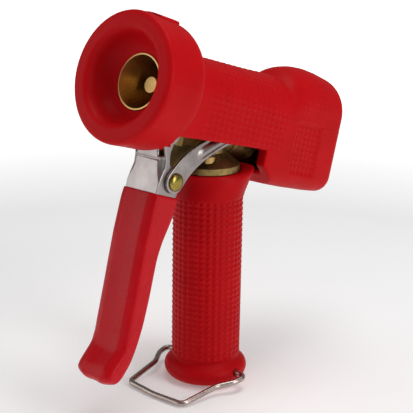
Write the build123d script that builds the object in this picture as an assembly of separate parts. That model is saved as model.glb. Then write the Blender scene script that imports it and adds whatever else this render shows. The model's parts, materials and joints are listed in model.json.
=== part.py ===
from build123d import *
import math
import os

# Pistol-grip wash-down hose nozzle.
# Frame: origin at the centre of the hose inlet mouth, at the foot of the handle.
# +Z runs up the handle axis, the nozzle sprays towards -Y and upwards, X is the plane of symmetry's normal.
# All dimensions are millimetres.

# ---------------------------------------------------------------- driving dimensions
TILT = 16.886            # barrel axis above the horizontal, degrees
Z_AXIS = 153.58          # height at which the barrel axis crosses the handle axis
THREAD_MINOR_R = 9.3155  # minor radius of the G 1/2 hose inlet thread
THREAD_LEN = 13.0        # length of the inlet thread
INLET_R = 15.0           # outside radius of the inlet end of the handle tube

TUBE_R = 13.5            # handle tube outside radius
TUBE_BORE_R = 8.0        # handle tube water way
TUBE_TOP = 117.3         # top of the handle tube

GRIP_R = 19.0            # hand grip radius over the bumps
GRIP_FOOT = 0.9          # grip rubber stops this far above the inlet face
BULGE_RING_R = 17.36     # foot bulge: ring radius
BULGE_R = 5.41           # foot bulge: section radius
BULGE_Z = 6.3            # foot bulge: height of the section centre

FLANGE_R = 16.66         # conical brass flange on top of the handle
FLANGE_Z0 = 117.35
FLANGE_Z1 = 121.3

BODY_HALF_W = 10.3       # half width of the oval valve chamber
BODY_TOP = 13.0          # chamber top above the barrel axis
BODY_BOTTOM = 26.0       # chamber bottom below the barrel axis
BODY_REAR = -33.5        # rear end of the chamber along the barrel axis
BODY_FRONT = 26.0        # chamber meets the round front barrel here
CHAMBER_R = 8.8          # valve bore
FRONT_R = 14.0           # round front barrel
FRONT_HEAD_R = 16.0      # its head inside the bell
FRONT_HEAD_S = 50.0

CONE_RIM_S = 54.1        # rim of the nozzle cone along the axis
CONE_RIM_R = 13.87
SEAT_S = 30.0            # valve seat plane
THROAT_R = 5.6

BELL_R = 32.5            # outside radius of the rubber bell
BELL_FRONT_S = 66.9
BELL_REAR_S = 39.5

STEM_R = 4.0
STEM_REAR_S = -63.0
TIP_DISC_R = 4.19
TIP_DISC_S = 45.65
CROSS_S = -52.0          # crosshead pin position along the axis
STROKE = 8.7             # stem travel

LEVER_PIVOT_S, LEVER_PIVOT_H = 35.0, -21.0
LEVER_HALF_W = 10.9      # outside half width of the steel channel
STEEL_T = 1.5
SLEEVE_HALF_W = 12.4
RIVET_Y, RIVET_Z = -38.7, 119.3
RIVET_R = 3.0
RUN = 0.05               # radial running clearance of pins in holes
LINK_X0, LINK_X1 = 11.15, 12.75

BAIL_R = 1.5             # wire radius
BAIL_HINGE_X = 24.29
BAIL_Z = 7.26
BAIL_END_X = 12.5
BAIL_DROP = 7.95         # the loop dips this many degrees below level, down to the surface

# ---------------------------------------------------------------- barrel frame
C, S = math.cos(math.radians(TILT)), math.sin(math.radians(TILT))
AX = Plane(origin=(0, 0, Z_AXIS), x_dir=(1, 0, 0), z_dir=(0, -C, S))      # local x, h, s
SIDE = Plane(origin=(0, 0, Z_AXIS), x_dir=(0, -C, S), z_dir=(-1, 0, 0))   # local s, h


def B(shape):
    """Place a solid made in barrel coordinates (x, h, s)."""
    return AX.location * shape


def yz(s, h):
    """Barrel (s, h) to the global (y, z)."""
    return (-s * C + h * S, Z_AXIS + s * S + h * C)


def cyl(r, s0, s1, h=0.0, x=0.0):
    """Cylinder along the barrel axis from s0 to s1."""
    return Pos(x, h, s0) * extrude(Circle(r), s1 - s0)


def tube(ro, ri, s0, s1):
    return Pos(0, 0, s0) * extrude(Circle(ro) - Circle(ri), s1 - s0)


def vcyl(r, z0, z1, x=0.0, y=0.0):
    return Pos(x, y, z0) * extrude(Circle(r), z1 - z0)


def spun(points):
    """Solid of revolution about Z from a closed list of (r, z)."""
    return revolve(Plane.XZ * make_face(Polyline(*points, close=True)), Axis.Z)


def xcyl(r, x0, x1, y, z):
    """Cylinder along X."""
    return Plane.YZ.offset(x0).location * (Pos(y, z, 0) * extrude(Circle(r), x1 - x0))


def plate(face, x0, x1):
    """Extrude a face drawn in (y, z) from x0 to x1."""
    return Plane.YZ.offset(x0).location * extrude(face, x1 - x0, dir=(0, 0, 1))


def side_prism(points, half):
    """Extrude a polygon drawn in barrel (s, h) symmetrically across X."""
    return extrude(SIDE * make_face(Polyline(*points, close=True)), half, both=True)


def mirror_x(shape):
    return mirror(shape, about=Plane.YZ)


def arch(w, top, bottom, corner, s):
    """Tall section with a round top and rounded lower corners, at station s."""
    c = top - w
    k = corner * (1 - math.sqrt(0.5))
    pts = Wire([
        Edge.make_line((w, c), (w, bottom + corner)),
        Edge.make_three_point_arc((w, bottom + corner), (w - k, bottom + k), (w - corner, bottom)),
        Edge.make_line((w - corner, bottom), (-w + corner, bottom)),
        Edge.make_three_point_arc((-w + corner, bottom), (-w + k, bottom + k), (-w, bottom + corner)),
        Edge.make_line((-w, bottom + corner), (-w, c)),
        Edge.make_three_point_arc((-w, c), (0, top), (w, c)),
    ])
    return Pos(0, 0, s) * Face(pts)


parts = {}

# ---------------------------------------------------------------- brass body
oval = make_hull((Pos(0, BODY_TOP - BODY_HALF_W) * Circle(BODY_HALF_W)).edges()
                 + (Pos(0, -BODY_BOTTOM + BODY_HALF_W) * Circle(BODY_HALF_W)).edges())
collar = make_hull((Pos(0, BODY_TOP - BODY_HALF_W) * Circle(BODY_HALF_W)).edges()
                   + (Pos(0, -BODY_BOTTOM + BODY_HALF_W) * Circle(BODY_HALF_W + 0.4)).edges())
body = Pos(0, 0, BODY_REAR) * extrude(oval, BODY_FRONT - BODY_REAR)
body += Pos(0, 0, -18.2) * extrude(collar, 2.8)
body += Pos(0, 0, BODY_REAR) * extrude(collar, 4.3)
body += cyl(FRONT_R, 22.0, 41.0)
body += cyl(FRONT_HEAD_R, 41.0, FRONT_HEAD_S)
# lug for the lever pivot, between the lever's cheeks
lug = Pos(0, 0, 24.0) * extrude(Pos(0, -17.5) * Rectangle(18.0, 17.0), 15.8)
body += lug
body = B(body)
# conical flange and the spigot that screws into the handle tube
body += spun([(0, 101.5), (10.45, 101.5), (10.45, FLANGE_Z0), (FLANGE_R - 0.4, FLANGE_Z0), (FLANGE_R, FLANGE_Z0 + 0.4),
              (FLANGE_R, FLANGE_Z1 - 0.3), (FLANGE_R - 0.4, FLANGE_Z1), (8.6, 127.4), (8.6, 140.0), (0, 140.0)])
# forged rib under the chamber, from the lever lug down to the flange
rib = [(-41.0, 139.8), (-37.6, 131.0), (-34.8, 125.2), (-30.0, 121.9), (-17.0, 121.9), (-16.0, 121.0), (-12.3, 121.0), (-12.3, 136.0), (-25.0, 140.0)]
body += plate(make_face(Polyline(*rib, close=True)), -5.0, 5.0)
# bores
body -= B(cyl(CHAMBER_R, -20.0, SEAT_S + 1))
body -= B(cyl(12.15, SEAT_S, FRONT_HEAD_S + 1))
body -= B(cyl(7.5, -31.0, -20.0))
body -= B(cyl(STEM_R + 0.6, -40.0, -30.0))
body -= vcyl(6.6, 100.0, 152.0)
py, pz = yz(LEVER_PIVOT_S, LEVER_PIVOT_H)
body -= xcyl(3.0, -15, 15, py, pz)
body -= B(cyl(7.55, BODY_REAR - 1, BODY_REAR + 3.5))
parts["brass_body"] = body

# ---------------------------------------------------------------- handle tube
handle = spun([(THREAD_MINOR_R, 0), (INLET_R - 0.6, 0), (INLET_R, 0.6), (INLET_R, 16.0), (TUBE_R, 17.5), (TUBE_R, TUBE_TOP),
               (10.5, TUBE_TOP), (10.5, 101.5), (TUBE_BORE_R, 101.5), (TUBE_BORE_R, 17.6), (9.9, 15.6),
               (9.9, THREAD_LEN), (THREAD_MINOR_R, THREAD_LEN)])
for sx in (-1, 1):
    handle -= xcyl(BAIL_R + RUN, min(sx * 12.0, sx * 16.0), max(sx * 12.0, sx * 16.0), 0, BAIL_Z)
parts["handle_tube"] = handle

# hose washer and strainer in the relief behind the inlet thread
parts["hose_washer"] = Pos(0, 0, THREAD_LEN + 0.05) * extrude(Circle(9.8) - Circle(6.3), 2.0)
strainer = spun([(0, 17.6), (6.6, 17.6), (6.6, 15.8), (7.6, 15.8), (7.6, 18.4), (0, 18.4)])
holes = Sketch() + [loc * Circle(0.7) for loc in HexLocations(2.3, 5, 5)]
strainer -= Pos(0, 0, 17.0) * extrude(holes, 2.0)
parts["inlet_strainer"] = strainer

# ---------------------------------------------------------------- hand grip rubber
bulge = Plane.XZ * (Pos(BULGE_RING_R, BULGE_Z) * Circle(BULGE_R))
grip = revolve(bulge, Axis.Z)
grip += vcyl(GRIP_R - 1.2, GRIP_FOOT + 3.0, 14.0)
grip += vcyl(BULGE_RING_R, GRIP_FOOT, 5.0)
grip += vcyl(GRIP_R, 14.4, 100.0)
grip += spun([(0, 13.0), (GRIP_R - 1.2, 13.0), (GRIP_R, 14.6), (0, 15.0)])
flare = loft([Pos(0, 0, 99.9) * Circle(GRIP_R), Pos(0, 0, 104.8) * Circle(GRIP_R + 0.1),
              Pos(0, 3.6, 112.8) * Circle(20.2), Pos(0, 6.5, 119.4) * Circle(21.2)], ruled=True)
top_cut = Plane(origin=(0, 0, 115.7), x_dir=(1, 0, 0), z_dir=(0, -math.sin(math.radians(9.5)), math.cos(math.radians(9.5))))
flare -= top_cut.location * extrude(Rectangle(90, 90), 30)
grip += flare
grip += vcyl(GRIP_R - 1.7, 100.0, FLANGE_Z0 - 0.05)
grip -= vcyl(TUBE_R + RUN, 10.0, 140.0)
grip -= vcyl(INLET_R + RUN, -1.0, 16.0)
grip -= spun([(0, 15.9), (INLET_R + RUN, 15.9), (INLET_R + RUN, 16.05), (TUBE_R + RUN, 17.6), (0, 17.6)])
grip -= Pos(0, 6.5, FLANGE_Z0 - 0.05) * extrude(Circle(17.2), 20)
grip -= vcyl(FLANGE_R + 0.3, FLANGE_Z0 - 0.05, 140.0)
grip -= xcyl(BAIL_R + 0.3, -30, 30, 0, BAIL_Z)
grip -= B(Pos(0, -26.9 + 10.0, -15.0) * Box(22.4, 20.0, 60.0))
grip -= B(Pos(0, -27.7 + 10.0, -29.3 - 15.0) * Box(60.0, 20.0, 30.0))
parts["grip_sleeve"] = grip

# ---------------------------------------------------------------- wire bail
def bail_pts(sx):
    ang = math.radians(BAIL_DROP)
    raw = [(BAIL_END_X, 0.0), (29.4, 0.0), (28.2, 8.0), (23.0, 16.5), (19.6, 40.1)]
    return [(sx * x, -r * math.cos(ang), BAIL_Z - r * math.sin(ang)) for x, r in raw]


route = bail_pts(1) + [(0.0, -41.6 * math.cos(math.radians(BAIL_DROP)), BAIL_Z - 41.6 * math.sin(math.radians(BAIL_DROP)))] + bail_pts(-1)[::-1]
wire_path = FilletPolyline(*route, radius=[3.4, 7.5, 9.0, 3.6, 14.0, 3.6, 9.0, 7.5, 3.4])
parts["wire_bail"] = sweep(Plane(origin=wire_path @ 0, z_dir=wire_path % 0) * Circle(BAIL_R), path=wire_path)

# ---------------------------------------------------------------- nozzle cone and valve parts
cone = tube(12.1, THROAT_R, SEAT_S + 0.4, 50.0) + tube(CONE_RIM_R, THROAT_R, 50.0, CONE_RIM_S)
cone = cone - Pos(0, 0, 0) * spun([(0, 36.0), (THROAT_R, 36.0), (CONE_RIM_R - 0.75, CONE_RIM_S), (CONE_RIM_R - 0.75, CONE_RIM_S + 2), (0, CONE_RIM_S + 2)])
cone += spun([(THROAT_R, SEAT_S), (7.4, SEAT_S), (7.9, SEAT_S + 0.5), (THROAT_R, SEAT_S + 0.5)])
cone -= tube(12.6, 11.0, 45.6, 47.4)
parts["nozzle_cone"] = B(cone)
oring = revolve(Plane.XZ * (Pos(11.55, 46.5) * Circle(0.55)), Axis.Z)
parts["nozzle_o_ring"] = B(oring)

stem = cyl(STEM_R, STEM_REAR_S, 24.0) + cyl(3.0, 24.0, TIP_DISC_S - 2.0)
parts["valve_stem"] = B(stem)
head = tube(8.4, 3.0, 24.0, 28.0) + tube(5.0, 3.0, 28.0, 28.6)
parts["valve_head"] = B(head)
parts["valve_washer"] = B(tube(8.3, 5.05, 28.0, SEAT_S - 0.05))
nut = Pos(0, 0, 28.6) * extrude(RegularPolygon(5.0, 6) - Circle(3.0), 3.0)
parts["washer_nut"] = B(nut)
disc = spun([(0, TIP_DISC_S - 2.0), (3.2, TIP_DISC_S - 2.0), (TIP_DISC_R, TIP_DISC_S - 1.2), (TIP_DISC_R, TIP_DISC_S - 0.3),
             (TIP_DISC_R - 0.3, TIP_DISC_S), (0, TIP_DISC_S)])
parts["stem_tip_disc"] = B(disc)

# return spring round the stem, between the rear wall and the valve head
SPRING_S0, SPRING_S1 = -19.0, 23.9
parts["spring_seat"] = B(tube(8.6, 4.6, -20.0, -19.0))
helix = Helix(pitch=(SPRING_S1 - SPRING_S0 - 1.9) / 7.5, height=SPRING_S1 - SPRING_S0 - 1.9, radius=6.6)
coil = sweep(Plane(origin=helix @ 0, z_dir=helix % 0) * Circle(0.9), path=helix, is_frenet=True)
parts["return_spring"] = B(Pos(0, 0, SPRING_S0 + 0.95) * coil)

# gland
parts["gland_packing"] = B(tube(7.45, STEM_R + RUN, -30.9, -25.0))
parts["gland_follower"] = B(tube(7.3, STEM_R + 0.15, -25.0, -20.1))
gland_nut = tube(7.5, STEM_R + 0.3, -33.6, -31.05) + Pos(0, 0, -40.0) * extrude(RegularPolygon(9.2, 6) - Circle(STEM_R + 0.3), 6.45)
parts["gland_nut"] = B(gland_nut)

# ---------------------------------------------------------------- crosshead on the stem's tail
cross = Pos(0, 0, CROSS_S) * (Box(21.0, 11.0, 9.0) - Pos(0, 0, 0) * Cylinder(STEM_R, 20))
cy, cz = yz(CROSS_S, 0)
cross = B(cross)
for sx in (-1, 1):
    cross -= xcyl(2.5, min(sx * 5.5, sx * 12), max(sx * 5.5, sx * 12), cy, cz)
parts["crosshead"] = cross
pins = [xcyl(2.5, 5.5, 14.0, cy, cz), xcyl(2.5, -14.0, -5.5, cy, cz)]
parts["crosshead_pins"] = Compound(children=[p.solid() for p in pins])
clips = []
for sx in (-1, 1):
    a, b = sorted((sx * 13.15, sx * 13.95))
    clips.append((xcyl(4.4, a, b, cy, cz) - xcyl(2.5, a - 1, b + 1, cy, cz)).solid())
parts["crosshead_clips"] = Compound(children=clips)
parts["stem_nut"] = B(Pos(0, 0, -61.0) * extrude(RegularPolygon(6.6, 6) - Circle(STEM_R), 4.5))

# ---------------------------------------------------------------- lever
P_Y, P_Z = py, pz
cheek_pts = [(-70.0, 45.4), (-57.4, 93.7), (-50.6, 114.9), (-48.9, 119.8), (-46.6, 123.6), (-44.2, 127.2), (-43.4, 131.2), (-43.9, 136.0), (-44.8, 140.4)]
cheek_back = [(-37.4, 139.1), (-40.3, 133.9), (-40.8, 128.5), (-36.8, 125.1), (-33.2, 121.4), (-32.9, 116.5),
              (-37.6, 108.9), (-46.6, 92.9), (-55.0, 69.8), (-62.4, 46.6)]
cheek = make_face(Polyline(*(cheek_pts + cheek_back), close=True))
ear = Pos(P_Y, P_Z) * Circle(5.2)
cheek = cheek + ear
chan = plate(cheek, LEVER_HALF_W - STEEL_T, LEVER_HALF_W) + plate(cheek, -LEVER_HALF_W, -LEVER_HALF_W + STEEL_T)
# front web, narrowing to a tab above the shoulders
web_f = [(-70.0, 45.4), (-57.4, 93.7), (-50.6, 114.9), (-46.6, 127.4), (-46.0, 131.6), (-45.2, 138.2)]
web_b = [(y + STEEL_T, z) for y, z in web_f[::-1]]
web = plate(make_face(Polyline(*(web_f + web_b), close=True)), -LEVER_HALF_W, LEVER_HALF_W)
half = [(10.9, 40.0), (10.9, 119.2), (10.2, 121.4), (8.9, 123.6), (7.9, 126.6), (7.3, 131.4), (6.9, 140.0)]
outline = Plane.XZ * make_face(Polyline(*(half + [(-x, z) for x, z in half[::-1]]), close=True))
web = web & extrude(outline, 100, both=True)
chan += web
for sx in (-1, 1):
    a, b = sorted((sx * 8.0, sx * 12.0))
    chan -= xcyl(3.0 + RUN, a, b, P_Y, P_Z)
    chan -= xcyl(RIVET_R - 0.3, a, b, RIVET_Y, RIVET_Z)
parts["lever_channel"] = chan

prof = [(-50.9, 116.2), (-53.1, 111.3), (-58.8, 93.7), (-65.1, 69.8), (-71.6, 45.7), (-74.4, 39.4), (-81.6, 31.9), (-83.5, 28.2), (-83.3, 24.3),
        (-80.2, 22.2), (-78.0, 22.4), (-74.9, 24.6), (-68.4, 31.0), (-63.4, 40.4), (-59.4, 49.6), (-55.3, 62.2), (-52.6, 71.8), (-49.9, 81.4),
        (-46.2, 89.4), (-40.8, 97.6), (-37.2, 104.0), (-35.0, 110.2)]
sleeve_face = make_face(Polyline(*prof, close=True))
sleeve = plate(sleeve_face, -SLEEVE_HALF_W, SLEEVE_HALF_W)
try:
    side_edges = sleeve.edges().filter_by(lambda e: abs(abs(e.center().X) - SLEEVE_HALF_W) < 1e-3 and e.center().Z < 112.5)
    sleeve = fillet(side_edges, 2.2)
except Exception as err:
    print("sleeve edges left square:", err)
sleeve -= chan
parts["lever_sleeve"] = sleeve

rivets = []
for sx in (1, -1):
    shank = xcyl(RIVET_R, 11.0, 12.9, RIVET_Y, RIVET_Z) + xcyl(RIVET_R - 0.3, 8.6, 11.0, RIVET_Y, RIVET_Z)
    tail = xcyl(4.2, 8.5, 9.4, RIVET_Y, RIVET_Z)
    dome = Plane(origin=(12.9, RIVET_Y, RIVET_Z), x_dir=(0, 1, 0), z_dir=(1, 0, 0)).location * spun(
        [(0, 0), (4.5, 0), (4.5, 0.5), (4.0, 1.1), (2.6, 1.7), (1.2, 1.95), (0, 2.0)])
    r = shank + tail + dome
    rivets.append((r if sx > 0 else mirror_x(r)).solid())
parts["lever_rivets"] = Compound(children=rivets)

pin = xcyl(3.0, -13.2, 13.2, P_Y, P_Z)
pin -= xcyl(3.4, 11.35, 12.05, P_Y, P_Z) - xcyl(2.4, 11.0, 12.5, P_Y, P_Z)
pin -= xcyl(3.4, -12.05, -11.35, P_Y, P_Z) - xcyl(2.4, -12.5, -11.0, P_Y, P_Z)
parts["lever_pin"] = pin
pclips = []
for sx in (-1, 1):
    a, b = sorted((sx * 11.4, sx * 12.0))
    pclips.append((xcyl(4.9, a, b, P_Y, P_Z) - xcyl(2.45, a - 1, b + 1, P_Y, P_Z)).solid())
parts["lever_pin_clips"] = Compound(children=pclips)

# ---------------------------------------------------------------- link arms
LINK = [(-38.7, 119.3, 6.1), (-33.0, 124.4, 5.7), (-26.0, 128.7, 5.4), (-16.8, 132.2, 4.9), (-2.0, 136.2, 4.7),
        (16.0, 138.6, 4.6), (34.0, 139.6, 4.8), (cy, cz, 5.6)]


def link_face():
    pts = [(y, z) for y, z, w in LINK]
    up, dn = [], []
    for i, (y, z, w) in enumerate(LINK):
        a, b = pts[max(i - 1, 0)], pts[min(i + 1, len(pts) - 1)]
        d = math.hypot(b[0] - a[0], b[1] - a[1])
        t = ((b[0] - a[0]) / d, (b[1] - a[1]) / d)
        up.append((y - t[1] * w, z + t[0] * w))
        dn.append((y + t[1] * w, z - t[0] * w))
        if i == 0:
            nose = (y - t[0] * w, z - t[1] * w)
        if i == len(LINK) - 1:
            tail = (y + t[0] * w, z + t[1] * w)
    v3 = lambda p: (p[0], p[1], 0)
    w = Wire([Spline(*up), ThreePointArc(up[-1], tail, dn[-1]), Spline(*dn[::-1]), ThreePointArc(dn[0], nose, up[0])])
    return Face(w)


link = plate(link_face(), LINK_X0, LINK_X1)
link -= xcyl(RIVET_R + RUN, 10, 14, RIVET_Y, RIVET_Z)
link -= xcyl(2.5 + 0.55, 10, 14, cy, cz)
parts["link_arm_right"] = link
parts["link_arm_left"] = mirror_x(link)

# ---------------------------------------------------------------- neck screws beside the flange
screws = []
for sx in (-1, 1):
    k = vcyl(4.2, 123.4, 126.6, sx * 6.0, -7.5) + Pos(sx * 6.0, -7.5, 126.6) * spun([(0, 0), (4.2, 0), (3.6, 0.8), (2.0, 1.3), (0, 1.45)])
    k -= body
    screws.append(k.solids().sort_by(SortBy.VOLUME)[-1])
parts["neck_screws"] = Compound(children=screws)

# ---------------------------------------------------------------- one-piece rubber cover: bell, barrel jacket, rear bumper
stations = [  # s, half width, top, bottom, lower corner radius
    (41.0, 19.3, 19.3, -30.0, 6.0), (20.0, 19.9, 20.5, -31.0, 6.0), (0.0, 20.5, 21.2, -33.0, 7.0), (-20.0, 21.0, 22.0, -35.0, 8.0),
    (-36.0, 21.4, 23.0, -36.2, 9.0), (-42.0, 21.6, 24.3, -36.4, 9.0), (-48.0, 21.8, 27.0, -36.4, 9.0), (-54.0, 22.0, 29.7, -36.4, 9.0),
    (-61.0, 22.0, 31.6, -36.3, 9.0), (-69.0, 22.0, 32.5, -36.0, 9.0), (-78.0, 22.0, 32.3, -35.8, 9.0), (-86.0, 22.0, 31.5, -35.3, 9.0),
    (-90.5, 22.0, 31.0, -35.0, 9.0), (-93.4, 21.1, 29.8, -34.0, 9.0), (-94.8, 19.7, 28.2, -32.4, 8.5), (-95.3, 18.0, 26.5, -30.7, 8.0)]
jacket = loft([arch(w, t, b, c, s) for s, w, t, b, c in stations], ruled=True)
jacket = B(jacket)
bell = B(spun([(0, BELL_REAR_S), (26.5, BELL_REAR_S), (30.3, BELL_REAR_S + 1.2), (31.8, BELL_REAR_S + 3.4), (BELL_R - 0.35, BELL_REAR_S + 6.5),
               (BELL_R, 63.6), (BELL_R, 65.0), (31.9, 66.1), (30.9, 66.6), (29.4, BELL_FRONT_S), (25.6, BELL_FRONT_S), (23.5, 66.2), (22.2, 64.0),
               (21.0, 60.6), (18.6, 56.8), (15.6, 54.3), (CONE_RIM_R + 0.08, CONE_RIM_S - 0.3), (0, CONE_RIM_S - 0.3)]))
# raised plain pad on top of the bell
pad = B(Pos(0, BELL_R - 1.0, 51.5) * Box(20.0, 3.2, 13.0))
pad = pad & B(cyl(BELL_R + 0.8, 44.0, 60.0))
# open underside between the bell and the bumper
SLOT_FLOOR_H = -29.0
open_pts = [(40.8, -21.9), (-30.0, -18.2), (-30.0, -27.0), (-43.5, -36.0), (-43.5, -80.0), (40.8, -80.0)]
jacket -= side_prism(open_pts, 60)
cover = jacket + bell + pad
# cavity round the valve body, lever cheeks and link arms
cover -= B(Pos(0, (7.0 - 43.0) / 2, (40.7 - 36.5) / 2) * Box(29.0, 50.0, 77.2))
# slot into the bumper for the link arms and the crosshead, closed below by a lip
cover -= B(Pos(0, (7.0 + SLOT_FLOOR_H) / 2, (-35.5 - 50.0) / 2) * Box(29.0, 7.0 - SLOT_FLOOR_H, 14.5))
cover -= B(Pos(0, -20.0 + BODY_TOP + 0.05, (24.0 - 50.0) / 2) * Box(21.4, 40.0, 74.0))
cover -= B(cyl(FRONT_R + 0.05, 10.0, 41.05))
cover -= B(cyl(FRONT_HEAD_R + 0.05, 41.0, FRONT_HEAD_S + 0.05))
cover -= B(cyl(CONE_RIM_R + 0.05, FRONT_HEAD_S - 0.5, CONE_RIM_S + 0.5))
# hollow of the rear bumper
hollow = loft([arch(16.6, 16.8, -31.0, 6.0, -45.0), arch(17.0, 22.0, -31.6, 6.0, -56.0), arch(17.2, 27.0, -31.4, 6.0, -70.0),
               arch(17.0, 26.4, -30.8, 6.0, -87.6)], ruled=True)
cover -= B(hollow)
parts["rubber_cover"] = cover

# ---------------------------------------------------------------- write
os.makedirs("parts", exist_ok=True)
for name, shape in parts.items():
    export_step(shape, os.path.join("parts", name + ".step"))
print("lever pivot y,z", round(py, 3), round(pz, 3), "crosshead pin y,z", round(cy, 3), round(cz, 3))
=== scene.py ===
import bpy, bmesh, json, math
import numpy as np
from mathutils import Vector, Matrix

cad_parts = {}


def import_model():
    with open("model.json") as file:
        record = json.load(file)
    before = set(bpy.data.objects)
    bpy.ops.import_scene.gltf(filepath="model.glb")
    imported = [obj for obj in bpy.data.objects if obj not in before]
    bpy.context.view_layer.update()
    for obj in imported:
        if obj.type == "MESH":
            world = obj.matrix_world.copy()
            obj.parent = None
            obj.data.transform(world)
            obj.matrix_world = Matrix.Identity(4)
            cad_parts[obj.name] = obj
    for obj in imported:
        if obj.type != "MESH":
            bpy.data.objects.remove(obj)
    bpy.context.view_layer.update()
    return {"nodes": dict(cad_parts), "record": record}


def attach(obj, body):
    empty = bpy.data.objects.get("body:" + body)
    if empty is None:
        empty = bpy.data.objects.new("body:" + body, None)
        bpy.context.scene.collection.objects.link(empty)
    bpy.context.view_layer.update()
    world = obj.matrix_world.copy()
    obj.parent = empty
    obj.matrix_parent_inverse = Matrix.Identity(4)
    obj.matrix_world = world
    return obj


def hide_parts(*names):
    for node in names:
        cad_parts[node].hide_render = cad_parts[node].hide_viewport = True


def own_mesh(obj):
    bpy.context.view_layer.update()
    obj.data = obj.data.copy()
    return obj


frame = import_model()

# ------------------------------------------------------------------ frame of the barrel (mm)
T = math.radians(16.886)
C, S = math.cos(T), math.sin(T)
ZA = 153.58
PIVOT = (-39.591, 143.652)
RIVET = (-38.7, 119.3)
CROSS = (49.758, 138.476)


def world(x, h, s):
    """Barrel coordinates to the row frame, all in mm."""
    x, h, s = np.broadcast_arrays(np.asarray(x, float), np.asarray(h, float), np.asarray(s, float))
    return np.stack([x, -s * C + h * S, ZA + s * S + h * C], -1)


def local(p):
    """Row frame points in mm to barrel (x, h, s)."""
    y, z = p[..., 1], p[..., 2] - ZA
    return p[..., 0], y * S + z * C, -y * C + z * S


def sstep(a, b, v):
    t = np.clip((np.asarray(v, float) - a) / (b - a), 0, 1)
    return t * t * (3 - 2 * t)


def smooth_table(xs, ys, sigma, step=0.25):
    """A smoothed curve through measured stations: returns a function."""
    order = np.argsort(xs)
    xs, ys = np.array(xs, float)[order], np.array(ys, float)[order]
    lo, hi = xs[0] - 6 * sigma, xs[-1] + 6 * sigma
    g = np.arange(lo, hi, step)
    v = np.interp(g, xs, ys)
    left = g < xs[0]
    right = g > xs[-1]
    v[left] = ys[0] + (g[left] - xs[0]) * (ys[1] - ys[0]) / (xs[1] - xs[0])
    v[right] = ys[-1] + (g[right] - xs[-1]) * (ys[-1] - ys[-2]) / (xs[-1] - xs[-2])
    k = np.arange(-int(4 * sigma / step), int(4 * sigma / step) + 1) * step
    w = np.exp(-0.5 * (k / sigma) ** 2)
    w /= w.sum()
    pad = len(k) // 2
    vv = np.convolve(np.pad(v, pad, mode="edge"), w, mode="valid")
    return lambda q: np.interp(q, g, vv)


# ------------------------------------------------------------------ meshes
def raw_object(name, verts_mm, faces):
    me = bpy.data.meshes.new(name)
    me.from_pydata((np.asarray(verts_mm, float) * 0.001).tolist(), [], [tuple(int(i) for i in f) for f in faces])
    me.validate()
    ob = bpy.data.objects.new(name, me)
    bpy.context.scene.collection.objects.link(ob)
    return ob


def outward(ob):
    bm = bmesh.new()
    bm.from_mesh(ob.data)
    bmesh.ops.remove_doubles(bm, verts=bm.verts, dist=1e-7)
    bmesh.ops.recalc_face_normals(bm, faces=bm.faces)
    bm.to_mesh(ob.data)
    bm.free()


def grid_faces(nu, nv, wrap_u=False, wrap_v=False, flip=False, base=0):
    out = []
    for i in range(nu if wrap_u else nu - 1):
        a, b = i, (i + 1) % nu
        for j in range(nv if wrap_v else nv - 1):
            c, d = j, (j + 1) % nv
            f = (base + a * nv + c, base + b * nv + c, base + b * nv + d, base + a * nv + d)
            out.append(f[::-1] if flip else f)
    return out


def lathe(name, profile, place, seg=96, closed=True):
    """Revolve (r, z) points. place maps (x, y, z) arrays in mm to the row frame. A radius of 0 closes the end."""
    p = np.array(profile, float)
    a = np.linspace(0, 2 * math.pi, seg, endpoint=False)
    verts = place(p[:, 0][:, None] * np.cos(a), p[:, 0][:, None] * np.sin(a), np.repeat(p[:, 1][:, None], seg, 1)).reshape(-1, 3)
    ob = raw_object(name, verts, grid_faces(len(p), seg, wrap_u=closed, wrap_v=True))
    outward(ob)
    return ob


def on_barrel(x, y, z):
    return world(x, y, z)


def upright(cx=0.0, cy=0.0):
    return lambda x, y, z: np.stack([x + cx, y + cy, z], -1)


def along_x(y0, z0, sign=1):
    return lambda x, y, z: np.stack([sign * z, y0 + x, z0 + y], -1)


def apply_mods(ob):
    dg = bpy.context.evaluated_depsgraph_get()
    me = bpy.data.meshes.new_from_object(ob.evaluated_get(dg))
    old = ob.data
    ob.modifiers.clear()
    ob.data = me
    me.name = ob.name
    bpy.data.meshes.remove(old)


def cut(ob, cutters, op="DIFFERENCE"):
    for c in cutters:
        m = ob.modifiers.new("b", "BOOLEAN")
        m.operation = op
        m.solver = "EXACT"
        m.object = c
    bpy.context.view_layer.update()
    apply_mods(ob)


def coords(ob):
    n = len(ob.data.vertices)
    co = np.empty(n * 3, np.float32)
    ob.data.vertices.foreach_get("co", co)
    return co.reshape(-1, 3).astype(float) * 1000.0


def set_coords(ob, p):
    ob.data.vertices.foreach_set("co", (np.asarray(p) * 0.001).astype(np.float32).ravel())
    ob.data.update()


def normals(ob):
    n = len(ob.data.vertices)
    no = np.empty(n * 3, np.float32)
    ob.data.vertices.foreach_get("normal", no)
    return no.reshape(-1, 3).astype(float)


def smooth_shade(ob, angle=None):
    for p in ob.data.polygons:
        p.use_smooth = True
    if angle is not None:
        bm = bmesh.new()
        bm.from_mesh(ob.data)
        for e in bm.edges:
            if len(e.link_faces) == 2 and e.calc_face_angle(0) > math.radians(angle):
                e.smooth = False
        bm.to_mesh(ob.data)
        bm.free()


def bevel(ob, width_mm, seg=2, angle=35):
    m = ob.modifiers.new("bevel", "BEVEL")
    m.width = width_mm * 0.001
    m.segments = seg
    m.limit_method = "ANGLE"
    m.angle_limit = math.radians(angle)
    m.harden_normals = False
    bpy.context.view_layer.update()
    apply_mods(ob)


def remove(*obs):
    for o in obs:
        me = o.data
        bpy.data.objects.remove(o)
        if me and me.users == 0:
            bpy.data.meshes.remove(me)


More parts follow.
